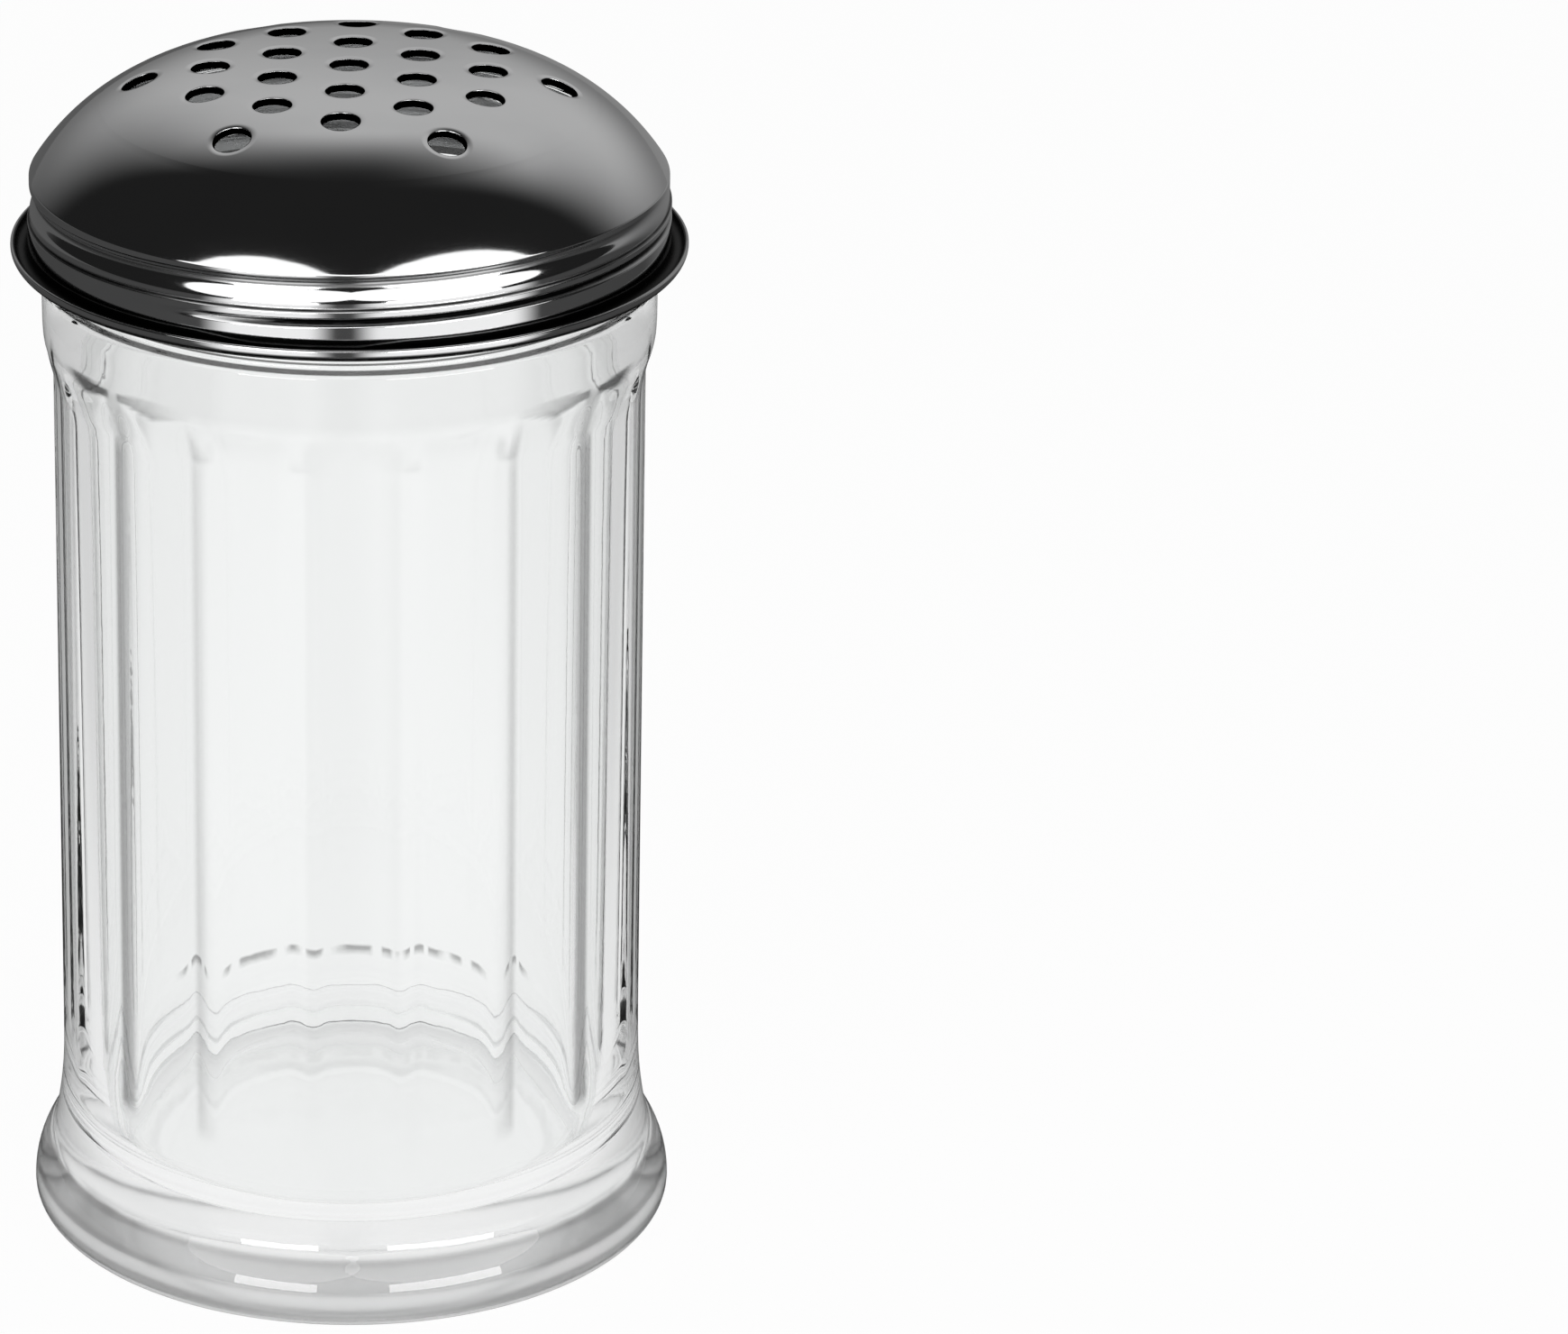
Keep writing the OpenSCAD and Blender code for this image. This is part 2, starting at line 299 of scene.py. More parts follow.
def panelRadius(f, z):
    # distance of a panel's flat from the axis at a height, run out round at both of its ends
    ribBase = f["ribTopR"] + f["ribDraft"]
    flareTop, collarMid = f["footH"] + f["flareH"], f["collarTop"] - f["collarH"]
    flareArc = sweepR(f["flareH"], f["creaseStep"])
    collarArc = sweepR(f["collarSweep"], f["collarStep"])
    collarR = f["ribTopR"] + f["collarStep"]
    lowR, highR = ribBase - f["panelDepth"], f["ribTopR"] - f["panelDepth"]
    flareLow = ribBase + flareArc - math.sqrt(flareArc ** 2 - (flareTop - f["panelLow"]) ** 2)
    collarHigh = collarR - collarArc + math.sqrt(collarArc ** 2 - (collarMid - f["panelHigh"]) ** 2)
    end = f["panelEndR"]
    lowMid = f["panelLow"] + math.sqrt(2 * end * (flareLow - lowR) - (flareLow - lowR) ** 2)
    highMid = f["panelHigh"] - math.sqrt(2 * end * (collarHigh - highR) - (collarHigh - highR) ** 2)
    flat = lowR + (highR - lowR) * (z - lowMid) / (highMid - lowMid)
    flat = np.clip(flat, highR, lowR)
    away = np.clip(np.maximum(lowMid - z, z - highMid), 0, end)
    return flat + end - np.sqrt(end ** 2 - away ** 2)


def glassShadeMarks(f, counts, turns, offsets, height, onRib):
    # where the glass is painted darker as shade: its ribs, the ledges under the collar, the foot's ridge, bands in
    # thick places and the rim
    marks = {name: np.zeros_like(height) for name in ("rib", "ledge", "ridgeShade", "bandShade", "rim")}
    part = slice(counts["bodyFrom"], counts["bodyTo"])
    body = height[part]
    rib = onRib * smoothStep(body, *f["ribMarkLow"]) * (1 - smoothStep(body, *f["ribMarkHigh"]))
    marks["rib"][part] = rib * (1 - f["faint"] * smoothStep(body, *f["ribMarkFaint"]))
    swing = np.abs(offsets) * f["panels"] / math.pi    # 0 in the middle of a panel, 1 at its ribs
    top = f["ledgeTop"] - f["ledgeDrop"] * swing ** 2
    low = top - f["ledgeH"] * (1 - f["ledgeThin"] * swing)
    ledge = smoothStep(body, low - f["ledgeOut"], low + f["ledgeIn"])
    ledge *= 1 - smoothStep(body, top - f["ledgeIn"], top + f["ledgeOut"])
    marks["ledge"][part] = ledge * (1 - smoothStep(swing, *f["ledgeEnd"]))
    rear = np.abs((turns - math.pi / 2 + math.pi) % math.tau - math.pi)    # 0 at the back, in radians
    ridgeShade = (1 - onRib) * np.exp(-((body - f["ridgeZ"]) / f["ridgeHalf"]) ** 4)
    marks["ridgeShade"][part] = ridgeShade * (1 - smoothStep(rear, *f["ridgeEnd"]))
    outside = slice(counts["footFrom"], counts["neckFrom"])
    marks["bandShade"][outside] = np.interp(height[outside], *zip(*f["bandShadeByHeight"]))
    # painted shade: the rim darkens toward the jar's bottom edge
    marks["rim"][outside] = 1 - smoothStep(height[outside], *f["rimMark"])
    return {name: [*values.ravel(), 0, 0] for name, values in marks.items()}    # 0 at the two middle points


def jarMesh(f):
    turns, offsets = jarColumns(f)
    rows, counts = jarRows(f)
    radius = np.repeat(rows[:, :1], len(turns), 1)
    height = np.repeat(rows[:, 1:], len(turns), 1)
    # the panels are cut from the turned body, soft along their ribs and at both ends
    part = slice(counts["bodyFrom"], counts["bodyTo"])
    over = radius[part] - panelRadius(f, rows[part, 1:]) / np.cos(offsets)
    cut = np.clip((over + np.sqrt(over ** 2 + f["endSoft"] ** 2)) / 2 - f["endSoft"] ** 2 / 8, 0, None)
    cut -= f["soften"] * np.minimum(cut, f["panelDepth"])
    cut *= smoothStep(height[part], f["panelLow"], f["panelLow"] + f["fadeLow"])
    cut *= 1 - smoothStep(height[part], f["panelHigh"] - f["fadeHigh"], f["panelHigh"])
    half = f["ribTopR"] * math.sin(math.pi / f["panels"]) - f["ribW"] / 2
    side = np.abs(radius[part] * np.sin(offsets))
    radius[part] -= cut * (1 - smoothStep(side, half - f["ribSoft"], half + f["ribSoft"]))
    onRib = smoothStep(side, half - f["ribMarkOut"], half + f["ribMarkIn"])
    marks = glassShadeMarks(f, counts, turns, offsets, height, onRib)
    # the thread climbs the neck as a round bead that runs out at both ends
    part = slice(counts["neckFrom"], counts["neckTo"])
    rise = np.zeros_like(radius[part])
    for turn in (-1, 0, 1):
        t = fromFront(turns) + turn
        fade = smoothStep(f["threadTurns"] / 2 - np.abs(t + f["threadBack"]), 0, f["threadFade"])
        gap = (height[part] - f["threadZ"] - f["pitch"] * t) / (f["threadW"] / 2)
        rise = np.maximum(rise, fade * np.clip(1 - gap ** 2, 0, 1) ** f["threadRound"])
    radius[part] += f["threadH"] * rise
    spin = np.stack([np.cos(turns), np.sin(turns)])
    verts = np.stack([radius * spin[0], radius * spin[1], height], -1).reshape(-1, 3)
    columns, count = len(turns), len(rows)
    verts = np.vstack([verts, [[0, 0, f["dishH"]], [0, 0, f["baseT"]]]])
    faces = [*ringFaces(count, columns),
             *fanFaces(count * columns, 0, columns, flip=True),
             *fanFaces(count * columns + 1, (count - 1) * columns, columns)]
    return verts, faces, marks


# the pressed steel lid, its groove's ends in degrees from the front
lidForm = {
    "wall": 0.5, "crownR": 16.0, "crownBend": 250.0, "discR": 28.5, "domeEnd": 36.0, "edgeR": 36.54, "edgeZ": 129.85,
    "crestR": 37.0, "creaseSoft": 0.03, "innerSoft": 0.15, "stepUp": 1.35, "stepDepth": 0.28, "stepSoft": 0.24,
    "pitch": 4.08, "grooveZ": 124.25, "grooveFrom": -38, "grooveTo": 450, "grooveIn": 30, "grooveOut": 60,
    "growFrom": 60, "growTo": 330, "grooveDepth": 0.5, "grooveDepthEnd": 0.56, "grooveHalf": 0.62,
    "grooveHalfEnd": 1.35, "grooveBelow": 0.7, "curlR": 1.245, "curlZ": 121.35, "curlEnd": 9.0,
    "holeD": 4.4, "holePitch": 9.15, "outerHoles": 6, "outerHoleR": 24.0, "holeTurn": -3.0,
    "rollW": 0.75, "rollDrop": 0.15, "burr": 0.3, "burrW": 0.28,
    # painted near-black shade in the step, in the start of the groove, and as a line in its end
    "stepShade": 0.95, "stepShadeUp": 0.04, "stepShadeHalf": 0.2, "grooveShadeHalf": 0.42, "lineShade": 0.75, "lineHalf": 0.12,
    # the mesh: rings, and a lattice between the holes
    "columns": 360, "ringGap": 0.1, "holeSides": 40, "rollRings": (0.12, 0.3, 0.52), "lattice": 1.25,
    "latticeRow": 0.866, "latticeHalf": 30, "holeClear": 1.35, "rimClear": 0.8}


class Dome:
    # a flat crown that turns into one tighter shoulder arc
    def __init__(self, f):
        self.top = lidHigh.z / mm
        self.crownR, self.bend = f["crownR"], f["crownBend"]
        a = math.asin(self.crownR / self.bend)
        end = np.array([self.crownR, self.top - self.bend + self.bend * math.cos(a)])
        inward = np.array([-math.sin(a), -math.cos(a)])
        toEdge = np.array([f["edgeR"], f["edgeZ"]]) - end
        self.shoulder = float(toEdge @ toEdge / (2 * (toEdge @ inward)))
        self.mid = end + self.shoulder * inward

    def tilt(self, r):
        crown = np.arcsin(np.clip(r / self.bend, 0, 1))
        edge = np.arcsin(np.clip((r - self.mid[0]) / self.shoulder, -1, 1))
        return np.where(r <= self.crownR, crown, edge)

    def height(self, r):
        t = self.tilt(r)
        return np.where(r <= self.crownR, self.top - self.bend + self.bend * np.cos(t),
                        self.mid[1] + self.shoulder * np.cos(t))

    def radius(self, z, inset=0.0):
        # where the shoulder arc stands at a height
        return self.mid[0] + np.sqrt(np.clip((self.shoulder - inset) ** 2 - (z - self.mid[1]) ** 2, 0.01, None))


def softLeast(a, b, soft):
    return (a + b - np.sqrt((a - b) ** 2 + soft ** 2)) / 2


def lidHoles(f):
    places = [(f["holePitch"] * q * math.sin(math.pi / 3), f["holePitch"] * (s + q / 2))
              for q in range(-2, 3) for s in range(-2, 3) if abs(q + s) <= 2]
    places += [(f["outerHoleR"] * math.cos(math.tau * i / f["outerHoles"]),
                f["outerHoleR"] * math.sin(math.tau * i / f["outerHoles"])) for i in range(f["outerHoles"])]
    t = math.radians(f["holeTurn"])
    turn = np.array([[math.cos(t), math.sin(t)], [-math.sin(t), math.cos(t)]])
    return np.array(places) @ turn


def domeSurface(f, dome, holes, plan):
    # heights of the dressed dome over plan points: the arcs, less the rolled edge of each hole
    r = np.linalg.norm(plan, axis=1)
    holeR = np.maximum(np.linalg.norm(holes, axis=1), 1e-6)
    out = holes / holeR[:, None]
    out[holeR < 0.01] = [1, 0]
    lean = np.cos(dome.tilt(holeR))
    gap = plan[:, None, :] - holes[None]
    along = (gap * out[None]).sum(-1)
    across = gap[..., 0] * -out[None, :, 1] + gap[..., 1] * out[None, :, 0]
    away = np.sqrt((along / lean[None]) ** 2 + across ** 2).min(1)
    roll = np.clip((f["holeD"] / 2 + f["rollW"] - away) / f["rollW"], 0, 1.3) ** 2 * f["rollDrop"]
    return dome.height(r) - roll


def domeNormals(f, dome, holes, plan):
    step = 0.02
    dx = domeSurface(f, dome, holes, plan + [step, 0]) - domeSurface(f, dome, holes, plan - [step, 0])
    dy = domeSurface(f, dome, holes, plan + [0, step]) - domeSurface(f, dome, holes, plan - [0, step])
    n = np.stack([-dx / (2 * step), -dy / (2 * step), np.ones(len(plan))], 1)
    return n / np.linalg.norm(n, axis=1)[:, None]


def lidSection(f, dome):
    # rings from the disc's rim down the outside, round the curl and back up the inside
    turns = np.linspace(0, math.tau, f["columns"], endpoint=False)
    front = fromFront(turns)

    def skirt(z, inset, soft):
        # one rolled groove that climbs a turn and a half, under a step that runs out at the back
        wall = np.full(len(turns), f["crestR"])
        step = f["grooveZ"] + f["stepUp"] + f["pitch"] * front
        present = smoothStep(0.5 - np.abs(front), 0, 0.15)
        wall -= f["stepDepth"] * smoothStep(z, step - f["stepSoft"], step + f["stepSoft"]) * present
        shadeLevel = f["stepShade"] * np.exp(-((z - step - f["stepShadeUp"]) / f["stepShadeHalf"]) ** 2) * present
        for turn in (-1, 0, 1):
            angle = 360 * (front + turn)
            along = smoothStep(angle, f["grooveFrom"], f["grooveFrom"] + f["grooveIn"])
            along *= 1 - smoothStep(angle, f["grooveTo"] - f["grooveOut"], f["grooveTo"])
            grow = smoothStep(angle, f["growFrom"], f["growTo"])
            half = f["grooveHalf"] + (f["grooveHalfEnd"] - f["grooveHalf"]) * grow
            deep = f["grooveDepth"] + (f["grooveDepthEnd"] - f["grooveDepth"]) * grow
            away = (z - f["grooveZ"] - f["pitch"] * angle / 360) / half
            away = np.where(away < 0, away / (1 + f["grooveBelow"] * grow), away)    # the last turn fades downward
            wall -= deep * along * np.cos(np.clip(away, -1, 1) * math.pi / 2) ** 2
            shadeLevel = np.maximum(shadeLevel, along * (1 - grow) * np.exp(-(away * half / f["grooveShadeHalf"]) ** 4))
            shadeLevel = np.maximum(shadeLevel, f["lineShade"] * along * grow * np.exp(-(away * half / f["lineHalf"]) ** 2))
        return softLeast(dome.radius(z, inset), wall - inset, soft), shadeLevel

    rings, grime = [], []
    zeroRing = np.zeros(len(turns))

    def addRing(r, z, shadeLevel=0.0):
        rings.append((zeroRing + r, zeroRing + z))
        grime.append(zeroRing + shadeLevel)

    for t in np.linspace(1, 0, 17):
        r = f["domeEnd"] - (f["domeEnd"] - f["discR"]) * t ** 1.6
        addRing(r, float(dome.height(np.array(r))))
    start = float(dome.height(np.array(f["domeEnd"])))
    zs = np.arange(start - f["ringGap"], f["curlZ"] + f["ringGap"], -f["ringGap"])
    # the channel's painted shade begins lower just left of the front
    low = f["curlZ"] + 0.15 + 0.5 * (smoothStep(front, 0, 0.03) + smoothStep(-front, 0.045, 0.08))
    for z in zs:
        r, shadeLevel = skirt(z, 0.0, f["creaseSoft"])
        addRing(r, z, np.maximum(shadeLevel, smoothStep(low - z, -0.2, 0.1)))
    # painted shade: the open channel and the curl's tip dark, the curl's underside darkening toward its lowest part
    curlMid = f["crestR"] - f["wall"] + f["curlR"]
    hollow = f["curlR"] - f["wall"]
    for r, z in arc(curlMid, f["curlZ"], hollow, 180, 360 + f["curlEnd"], 18):   # the open channel
        addRing(r, z, 1.0)
    endMid = (hollow + f["curlR"]) / 2
    a = math.radians(f["curlEnd"])
    tip = np.array([curlMid + endMid * math.cos(a), f["curlZ"] + endMid * math.sin(a)])
    along = np.array([-math.sin(a), math.cos(a)])
    out = np.array([math.cos(a), math.sin(a)])
    for b in (-54, -18, 18, 54):
        c = math.radians(b)
        addRing(*(tip + f["wall"] / 2 * (math.sin(c) * out + 0.6 * math.cos(c) * along)), 1.0 if b < 0 else 0.5)
    curl = np.linspace(f["curlEnd"], -180, 30)
    for (r, z), degrees in zip(arc(curlMid, f["curlZ"], f["curlR"], f["curlEnd"], -180, 29), curl):
        addRing(r, z, float(smoothStep(-degrees, 19, 27)))
    inside = len(rings)
    for z in zs[::2][::-1]:
        addRing(skirt(z, f["wall"], f["innerSoft"])[0], z)
    innerTop = float(dome.radius(np.array(zs[0]), f["wall"]))
    roof = dome.shoulder - f["wall"]
    innerTilt = math.asin((innerTop - dome.mid[0]) / roof)
    for t in np.linspace(innerTilt, float(dome.tilt(np.array(f["discR"]))), 12)[1:]:
        addRing(dome.mid[0] + roof * math.sin(t), dome.mid[1] + roof * math.cos(t))
    return turns, rings, np.array(grime), inside


def domePlan(f, dome, holes, rim):
    # the disc from above: its rim, rings round every hole and a lattice between them
    columns, sides = f["columns"], f["holeSides"]
    edges = [(j, (j + 1) % columns) for j in range(columns)]
    points = [tuple(p) for p in rim]
    around = np.linspace(0, math.tau, sides, endpoint=False)
    holeR = f["holeD"] / 2
    holeRings = []
    for centre in holes:
        far = max(np.linalg.norm(centre), 1e-6)
        out = centre / far if far > 0.01 else np.array([1.0, 0.0])
        side = np.array([-out[1], out[0]])
        tilt = float(dome.tilt(np.array(far)))
        bend = dome.shoulder if far > dome.crownR else dome.bend
        holeRings.append(len(points))
        for ringR in (holeR, *(holeR + gap for gap in f["rollRings"]), holeR + f["rollW"] + 0.05):
            start = len(points)
            sag = ringR ** 2 / (2 * bend) * math.sin(tilt)
            for a in around:
                p = centre + out * (ringR * math.cos(a) * math.cos(tilt) - sag) + side * ringR * math.sin(a)
                points.append(tuple(p))
            edges += [(start + k, start + (k + 1) % sides) for k in range(sides)]
    step, reach = f["lattice"], f["latticeHalf"]
    for row, y in enumerate(np.arange(-reach, reach, step * f["latticeRow"])):
        for x in np.arange(-reach + (row % 2) * step / 2, reach, step):
            spot = np.array([x, y])
            clear = np.linalg.norm(holes - spot, axis=1).min() > holeR + f["holeClear"]
            if clear and np.linalg.norm(spot) < f["discR"] - f["rimClear"]:
                points.append((x, y))
    return points, edges, holeRings


def lidMesh(f):
    dome = Dome(f)
    turns, rings, grime, inside = lidSection(f, dome)
    columns, sides, holeR = f["columns"], f["holeSides"], f["holeD"] / 2
    body = np.array([np.stack([r * np.cos(turns), r * np.sin(turns), z], -1) for r, z in rings])
    byRow = np.gradient(body, axis=0)
    byTurn = np.roll(body, -1, 1) - np.roll(body, 1, 1)
    bodyNormals = np.cross(byRow, byTurn)
    bodyNormals /= np.linalg.norm(bodyNormals, axis=-1)[..., None]
    holes = lidHoles(f)
    points, edges, holeRings = domePlan(f, dome, holes, body[0, :, :2])
    found, _, tris, origin, _, _ = delaunay_2d_cdt([Vector(p) for p in points], edges, [], 0, 1e-7)
    assert len(found) == len(points)
    first = {k: o[0] for k, o in enumerate(origin)}
    plan = np.array(points)
    outer = []
    for tri in tris:
        ids = [first[k] for k in tri]
        inHole = any(start <= min(ids) and max(ids) < start + sides for start in holeRings)
        if not inHole:
            a, b, c = plan[ids]
            turnWay = (b - a)[0] * (c - a)[1] - (b - a)[1] * (c - a)[0]
            outer.append(ids if turnWay > 0 else ids[::-1])
    outer = np.array(outer)
    heights = domeSurface(f, dome, holes, plan)
    normals = domeNormals(f, dome, holes, plan)
    plain = np.linalg.norm(plan, axis=1)
    lean = dome.tilt(plain)
    direct = np.stack([plan[:, 0] / np.maximum(plain, 1e-6) * np.sin(lean),
                       plan[:, 1] / np.maximum(plain, 1e-6) * np.sin(lean), np.cos(lean)], 1)
    topVerts = np.column_stack([plan, heights])
    lowVerts = topVerts - f["wall"] * direct
    toHole = np.linalg.norm(plan[:, None] - holes[None], axis=2).min(1)
    burr = np.clip(1 - (toHole - holeR) / f["burrW"], 0, 1)    # punching draws each hole's edge down inside
    lowVerts -= (f["burr"] * burr)[:, None] * direct
    rows = len(rings)
    total = rows * columns
    verts = [*body.reshape(-1, 3), *topVerts[columns:], *lowVerts[columns:]]
    inner = len(points) - columns

    def topId(k):
        return k if k < columns else total + k - columns

    def lowId(k):
        return (rows - 1) * columns + k if k < columns else total + inner + k - columns

    ring = np.arange((rows - 1) * columns) // columns
    # 0 is polished, 1 dull, 2 punched hole walls painted nearly black as shade
    finishes = [*np.where(ring >= inside - 1, 1, 0), *[0] * len(outer), *[1] * len(outer),
                *[2] * (sides * len(holes))]
    grime = np.concatenate([grime.ravel(), np.zeros(len(verts) - grime.size)])
    faces, loops = [], []
    grid = ringFaces(rows, columns, flip=True)
    flatNormals = bodyNormals.reshape(-1, 3)
    for quad in grid:
        faces.append(quad)
        loops += [flatNormals[v] for v in quad]
    for tri in outer:
        faces.append([topId(k) for k in tri])
        loops += [normals[k] for k in tri]
    for tri in outer:
        back = tri[::-1]
        faces.append([lowId(k) for k in back])
        loops += [-normals[k] for k in back]
    for centre, start in zip(holes, holeRings):
        for k in range(sides):
            a, b = start + k, start + (k + 1) % sides
            faces.append([topId(b), topId(a), lowId(a), lowId(b)])
            wallA = np.append(centre - plan[a], 0) / holeR
            wallB = np.append(centre - plan[b], 0) / holeR
            loops += [wallB, wallA, wallA, wallB]
    return np.array(verts), faces, np.array(loops), finishes, {"grime": grime}


def newMaterial(name):
    material = bpy.data.materials.new(name)
    n = Nodes(material)
    return material, n, n.place()


# the pairs are where a ramp starts and ends: heights in millimetres, or how far the glass turns away from the view
# dim and edge are the colours of painted shade on the glass
glassLook = {
    "tint": (0.955, 0.962, 0.960), "dim": (0.16, 0.16, 0.16), "edge": (0.03, 0.03, 0.03), "ior": 1.51,
    "bump": 0.35, "bumpH": 0.10, "waveScale": 55.0, "haze": 0.012, "hazeAt": (0.45, 0.85), "frost": 0.10,
    "frostAt": (1.5, 2.2), "edgeZ": 117.58, "edgeHalf": 0.22, "sweepAt": (104.5, 109), "sweepShift": (0.12, 0.07),
    "rib": 0.95, "ribAt": (0.12, 0.45), "ribPast": (0.52, 0.68), "ribBack": 0.6, "rim": 0.85,
    "turned": 0.28, "turnedAt": (0.45, 1.0), "bandShadeFront": 0.62, "bandShadeSide": 0.9, "bandShadeAt": (0.08, 0.34),
    "ledgeAt": (0.2, 0.5), "ledgePast": (0.6, 0.7), "ledgeBack": 0.85, "brokenScale": 130.0, "brokenAt": (0.35, 0.55)}


def pressedGlass(f):
    material, n, place = newMaterial("pressedGlass")
    height = n.parts(place)[2]
    slow = n.noise(n.stretched(place, (1, 1, 0.35)), f["waveScale"], 1.5, 0.4)
    fine = n.noise(place, f["waveScale"] * 6, 2.0, 0.5)
    bump = n.bump(f["bump"], f["bumpH"], slow * 0.85 + fine * 0.15)
    stand = 1 - height.rise(*(z * mm for z in f["frostAt"]))    # the underside, rubbed dull
    haze = fine.rise(*f["hazeAt"]) * f["haze"] + stand * f["frost"]
    # painted shade: greyer where it turns away, on its ribs, and in bands on the thick foot and collar
    marks = {name: n.mark(name) for name in ("rib", "ledge", "ridgeShade", "bandShade", "rim")}
    facing = n.add("ShaderNodeLayerWeight", {}, {"Blend": 0.5}, "Facing")
    inside = n.add("ShaderNodeNewGeometry", {}, {}, "Backfacing")
    shift = height.rise(*(z * mm for z in f["sweepAt"]))    # the sweep under the collar faces down
    (start, end), (startShift, endShift) = f["ribAt"], f["sweepShift"]
    turned = facing.rise(start + startShift * shift, end + endShift * shift)
    turned = turned * (1 - f["ribBack"] * facing.rise(*f["ribPast"]))
    dim = (marks["rib"] * f["rib"] * turned).most(facing.rise(*f["turnedAt"]) * f["turned"]) * (1 - inside)
    bandShade = marks["bandShade"] * (f["bandShadeFront"] + (f["bandShadeSide"] - f["bandShadeFront"]) * facing.rise(*f["bandShadeAt"]))
    bandShade = bandShade.most(marks["rim"] * f["rim"]) * (1 - inside)
    colour = n.blend(dim.most(bandShade), (*f["tint"], 1), (*f["dim"], 1))
    # painted shade, nearly black: a line on the collar's upper edge, the ledges under it and the foot's ridge seen
    # from inside
    offEdge = ((height - f["edgeZ"] * mm) ** 2) ** 0.5
    line = 1 - offEdge.rise(f["edgeHalf"] * 0.5 * mm, f["edgeHalf"] * mm)
    broken = n.noise(place, f["brokenScale"], 2.0, 0.5).rise(*f["brokenAt"])
    ledge = marks["ledge"] * facing.rise(*f["ledgeAt"])
    ledge = ledge * (1 - f["ledgeBack"] * facing.rise(*f["ledgePast"])) * (1 - inside)
    line = line.most(marks["ridgeShade"] * inside * broken).most(ledge)
    colour = n.blend(line, colour, (*f["edge"], 1))
    n.principled({"Base Color": colour, "Roughness": haze, "Normal": bump, "Transmission Weight": 1.0,
                  "IOR": f["ior"]})
    return material


# the near-black colour here is painted shade for the grooves, the step and the curl
steelLook = {"colour": (0.86, 0.862, 0.866), "worn": (0.80, 0.803, 0.81), "grime": (0.003, 0.003, 0.003),
             "roughLow": 0.045, "roughHigh": 0.095, "paintedShadeRough": 0.4, "cloudScale": 60.0, "drawnScale": 260.0,
             "wornAt": (0.35, 0.8), "bump": 0.07, "bumpH": 0.03}


def pressedSteel(f):
    material, n, place = newMaterial("pressedSteel")
    cloud = n.noise(place, f["cloudScale"], 3.0, 0.55)
    drawn = n.noise(n.stretched(place, (1, 1, 7)), f["drawnScale"], 3.0, 0.6)
    grime = n.mark("grime")    # painted shade in the rolled grooves and the curl
    rough = f["roughLow"] + (f["roughHigh"] - f["roughLow"]) * (cloud * 0.6 + drawn * 0.4) + grime * f["paintedShadeRough"]
    metal = n.blend(cloud.rise(*f["wornAt"]), (*f["colour"], 1), (*f["worn"], 1))
    colour = n.blend(grime * (1.0 + 0.1 * drawn.rise(0.3, 0.6)), metal, (*f["grime"], 1))
    bump = n.bump(f["bump"], f["bumpH"], cloud * 0.8 + drawn * 0.2)
    n.principled({"Base Color": colour, "Metallic": 1.0, "Roughness": rough, "Normal": bump})
    return material


dullLook = {"light": (0.26, 0.262, 0.266), "dark": (0.16, 0.162, 0.165), "darkAt": (0.3, 0.7), "roughLow": 0.24,
            "roughHigh": 0.42, "cloudScale": 90.0, "grainScale": 700.0, "bump": 0.3, "bumpH": 0.02}


def dullSteel(f):
    # the lid's inside, which is never polished
    material, n, place = newMaterial("dullSteel")
    cloud = n.noise(place, f["cloudScale"], 3.0, 0.6)
    grain = n.noise(n.stretched(place, (1, 1, 5)), f["grainScale"], 2.0, 0.5)
    rough = f["roughLow"] + (f["roughHigh"] - f["roughLow"]) * grain
    bump = n.bump(f["bump"], f["bumpH"], grain)
    colour = n.blend(cloud.rise(*f["darkAt"]), (*f["light"], 1), (*f["dark"], 1))
    n.principled({"Base Color": colour, "Metallic": 1.0, "Roughness": rough, "Normal": bump})
    return material


holeWallShadeLook = {"light": (0.05, 0.049, 0.048), "dark": (0.012, 0.012, 0.012), "lightAt": (0.4, 0.75), "rough": 0.5,
             "uneven": 0.2, "tornScale": 900.0}


def shadedHoleWalls(f):
    # the sheared walls of the holes, torn, and painted nearly black as shade
    material, n, place = newMaterial("shadedHoleWalls")
    torn = n.noise(n.stretched(place, (1, 1, 0.2)), f["tornScale"], 3.0, 0.6)
    colour = n.blend(torn.rise(*f["lightAt"]), (*f["dark"], 1), (*f["light"], 1))
    n.principled({"Base Color": colour, "Metallic": 1.0, "Roughness": f["rough"] + torn * f["uneven"]})
    return material


# metres, and degrees from the front in the painted pools of light that steel sees on the paper
floorLook = {
    "rings": (0.1, 0.3, 0.8, 1.6, 3.0), "columns": 96, "drop": 0.05, "colour": 0.88, "paper": 0.97,
    "sideHalf": 0.06, "sideSoft": 0.12, "sideGrey": 0.78, "near": 0.2, "nearFrom": 0.08, "nearTo": 0.165,
    "gapLeft": 3.0, "gapRight": -1.0, "gapSoft": 12.0, "left": 40.0, "right": 56.0, "endSoft": 14.0,
    "leftGrey": 0.05, "rightGrey": 0.045, "sidesAt": (-0.1, 0.1), "farLeft": 0.10, "farRight": 0.24,
    "farSidesAt": (-0.05, 0.05), "farAt": (0.1, 0.5)}


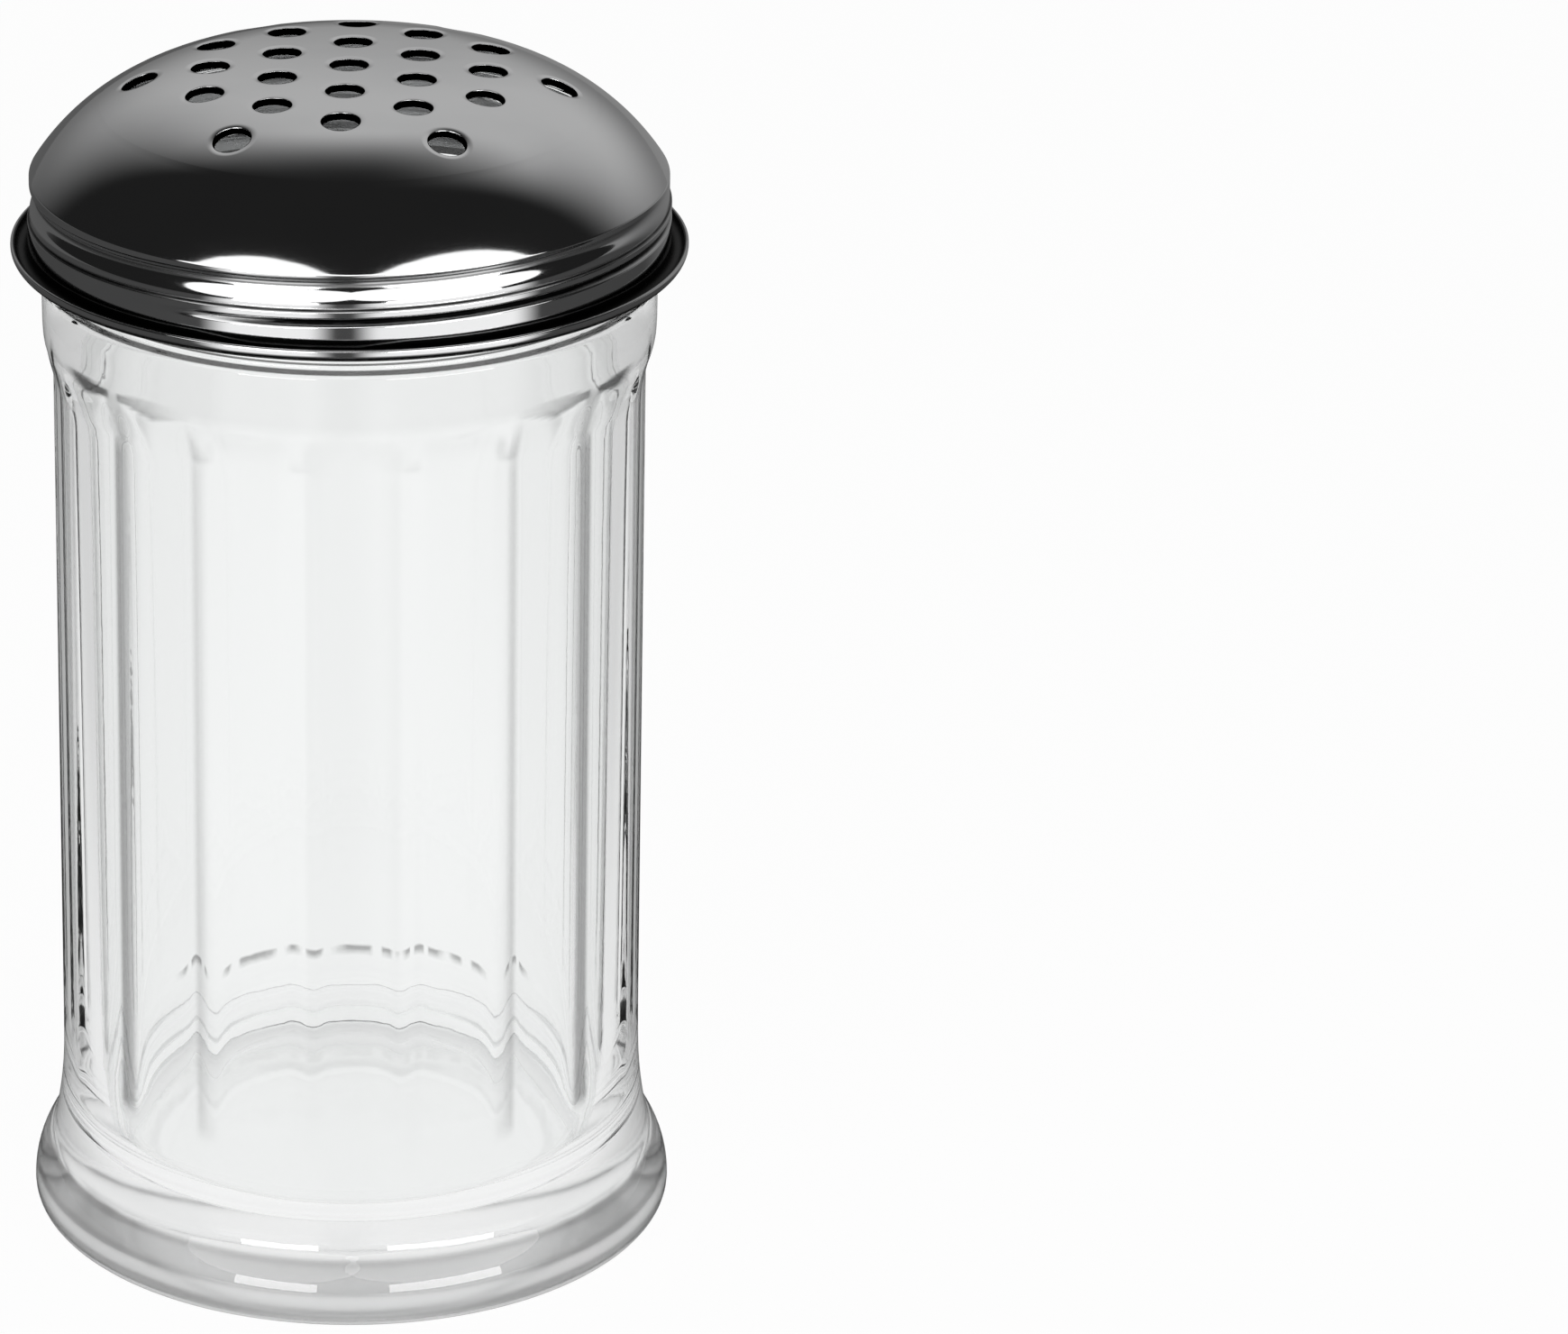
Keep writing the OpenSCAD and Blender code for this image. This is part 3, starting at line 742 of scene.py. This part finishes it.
def layFloor(f):
    rings, columns, drop = f["rings"], f["columns"], f["drop"]
    turns = np.linspace(0, math.tau, columns, endpoint=False)
    verts = [[r / mm * math.cos(t), r / mm * math.sin(t), -drop] for r in rings for t in turns] + [[0, 0, -drop]]
    faces = [*ringFaces(len(rings), columns, flip=True), *fanFaces(len(rings) * columns, 0, columns)]
    material, n, place = newMaterial("palePaper")
    camera, through, mirrored = n.rays()
    x, y, _ = n.parts(place)
    # glass sees white paper under and behind the jar, and grey room at its sides
    aside = (x * x) ** 0.5
    paper = 1 - aside.rise(f["sideHalf"], f["sideHalf"] + f["sideSoft"]) * (1 - f["sideGrey"])
    # steel sees painted light on the paper: two glowing pools where the wide lamps in front would light it, dimmer
    # near the object as painted shade, and the dark room round it
    turn = x.math("ARCTAN2", x, 0 - y) * (180 / math.pi)
    right = turn.rise(f["gapRight"], f["gapRight"] + f["gapSoft"])
    right = right * (1 - turn.rise(f["right"], f["right"] + f["endSoft"]))
    other = 0 - turn
    left = other.rise(f["gapLeft"], f["gapLeft"] + f["gapSoft"])
    left = left * (1 - other.rise(f["left"], f["left"] + f["endSoft"]))
    away = (x * x + y * y) ** 0.5
    paintedPools = (right + left) * (f["near"] + (1 - f["near"]) * away.rise(f["nearFrom"], f["nearTo"]))
    room = f["leftGrey"] + (f["rightGrey"] - f["leftGrey"]) * x.rise(*f["sidesAt"])
    far = f["farLeft"] + (f["farRight"] - f["farLeft"]) * x.rise(*f["farSidesAt"])
    room = room.most(y.rise(*f["farAt"]) * far)
    strength = camera.most(through * paper + (1 - through) * paintedPools.most(room))
    seen = camera.most(through).most(mirrored) * f["paper"]
    matt = n.add("ShaderNodeBsdfDiffuse", {}, {"Color": (*[f["colour"]] * 3, 1)})
    white = n.add("ShaderNodeEmission", {}, {"Color": strength, "Strength": 1.0})
    mixed = n.add("ShaderNodeMixShader", {}, {0: seen, 1: matt, 2: white})
    n.add("ShaderNodeOutputMaterial", {}, {"Surface": mixed})
    makePiece("floor", verts, faces, [material])


worldLook = {
    "wall": 0.45, "wallAt": (0.35, 1.0), "wallTurn": 0.2, "dark": 0.013, "darkAt": (0.72, 1.0), "lowWall": 0.4,
    "lowAt": (-0.05, 0.42), "leftWall": 0.78, "leftAt": (-0.7, 0.1), "fill": 0.15,
    "behindGlass": 0.95, "besideGlass": 0.76, "besideAt": (0.35, 0.85), "overGlass": 0.75, "overAt": (0.55, 0.95)}


def hangWorld(f):
    world = bpy.data.worlds.new("studio")
    bpy.context.scene.world = world
    n = Nodes(world)
    camera, through, mirrored = n.rays()
    x, y, z = n.parts(n.add("ShaderNodeTexCoord"))    # the way a ray goes
    flat = (x * x + y * y + 0.0001) ** 0.5    # never quite 0
    # steel sees a pale wall behind the object, dimmer near the floor and to the left, and dark above
    behind = (y / flat + x / flat * f["wallTurn"]).rise(*f["wallAt"])
    upright = (1 - z.rise(*f["darkAt"])) * (f["lowWall"] + (1 - f["lowWall"]) * z.rise(*f["lowAt"]))
    side = f["leftWall"] + (1 - f["leftWall"]) * (x / flat).rise(*f["leftAt"])
    wall = f["dark"] + behind * upright * side * f["wall"]
    # glass sees a light room, dimmer to the sides and above
    beside = ((x / flat) ** 2).rise(*f["besideAt"])
    room = f["behindGlass"] - (f["behindGlass"] - f["besideGlass"]) * beside
    room = room - (room - f["overGlass"]) * z.rise(*f["overAt"])
    strength = camera.most(through * room + (1 - through) * (mirrored * wall + (1 - mirrored) * f["fill"]))
    light = n.add("ShaderNodeBackground", {}, {"Color": strength, "Strength": 1.0})
    n.add("ShaderNodeOutputWorld", {}, {"Surface": light})


# two wide lamps and two bright low tubes, in degrees from the front and up
lampLook = {"shape": "ELLIPSE", "distance": 1.1, "radiance": 1.0, "low": 5.0, "high": 51.0,
            "left": (-61.0, -1.0), "right": (1.5, 71.0)}
tubeLook = {"shape": "RECTANGLE", "distance": 1.05, "radiance": 7.0, "low": -4.5, "high": 5.5,
            "left": (-40.0, -11.5), "right": (12.5, 52.0)}


def hangLamp(name, f, span):
    spans = (span, (f["low"], f["high"]))
    turn, rise = (math.radians((a + b) / 2) for a, b in spans)
    width, tall = (2 * f["distance"] * math.tan(math.radians(b - a) / 2) for a, b in spans)
    data = bpy.data.lights.new(name, "AREA")
    data.shape = f["shape"]
    data.size, data.size_y = width, tall
    data.energy = f["radiance"] * math.pi * width * tall
    lamp = bpy.data.objects.new(name, data)
    bpy.context.scene.collection.objects.link(lamp)
    aim = Vector((0, 0, 0.10))    # the upper part of the jar
    way = Vector((math.sin(turn) * math.cos(rise), -math.cos(turn) * math.cos(rise), math.sin(rise)))
    lamp.location = aim + f["distance"] * way
    lamp.rotation_euler = (aim - lamp.location).to_track_quat("-Z", "Y").to_euler()
    lamp.visible_camera = lamp.visible_transmission = False


standCamera()
print("camera stands")

glass, steel = pressedGlass(glassLook), pressedSteel(steelLook)
jarVerts, jarFaces, jarMarks = jarMesh(jarForm)
jar = makePiece("glassJar", jarVerts, jarFaces, [glass], marks=jarMarks)
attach(jar, "jar")
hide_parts("jar")
print("jar", len(jar.data.polygons), "faces")

lidVerts, lidFaces, *lidDetail = lidMesh(lidForm)
lid = makePiece("pressedLid", lidVerts, lidFaces, [steel, dullSteel(dullLook), shadedHoleWalls(holeWallShadeLook)], *lidDetail)
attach(lid, "lid")
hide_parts("lid")
print("lid", len(lid.data.polygons), "faces")

layFloor(floorLook)
hangWorld(worldLook)
for kind, look in (("Lamp", lampLook), ("Tube", tubeLook)):
    for side in ("left", "right"):
        hangLamp(side + kind, look, look[side])
bpy.context.scene.view_settings.view_transform = "Standard"
cycles = bpy.context.scene.cycles    # light runs a long way inside a thick glass foot
cycles.max_bounces, cycles.glossy_bounces, cycles.transmission_bounces = 24, 16, 24
print("floor, world and lamps ready")
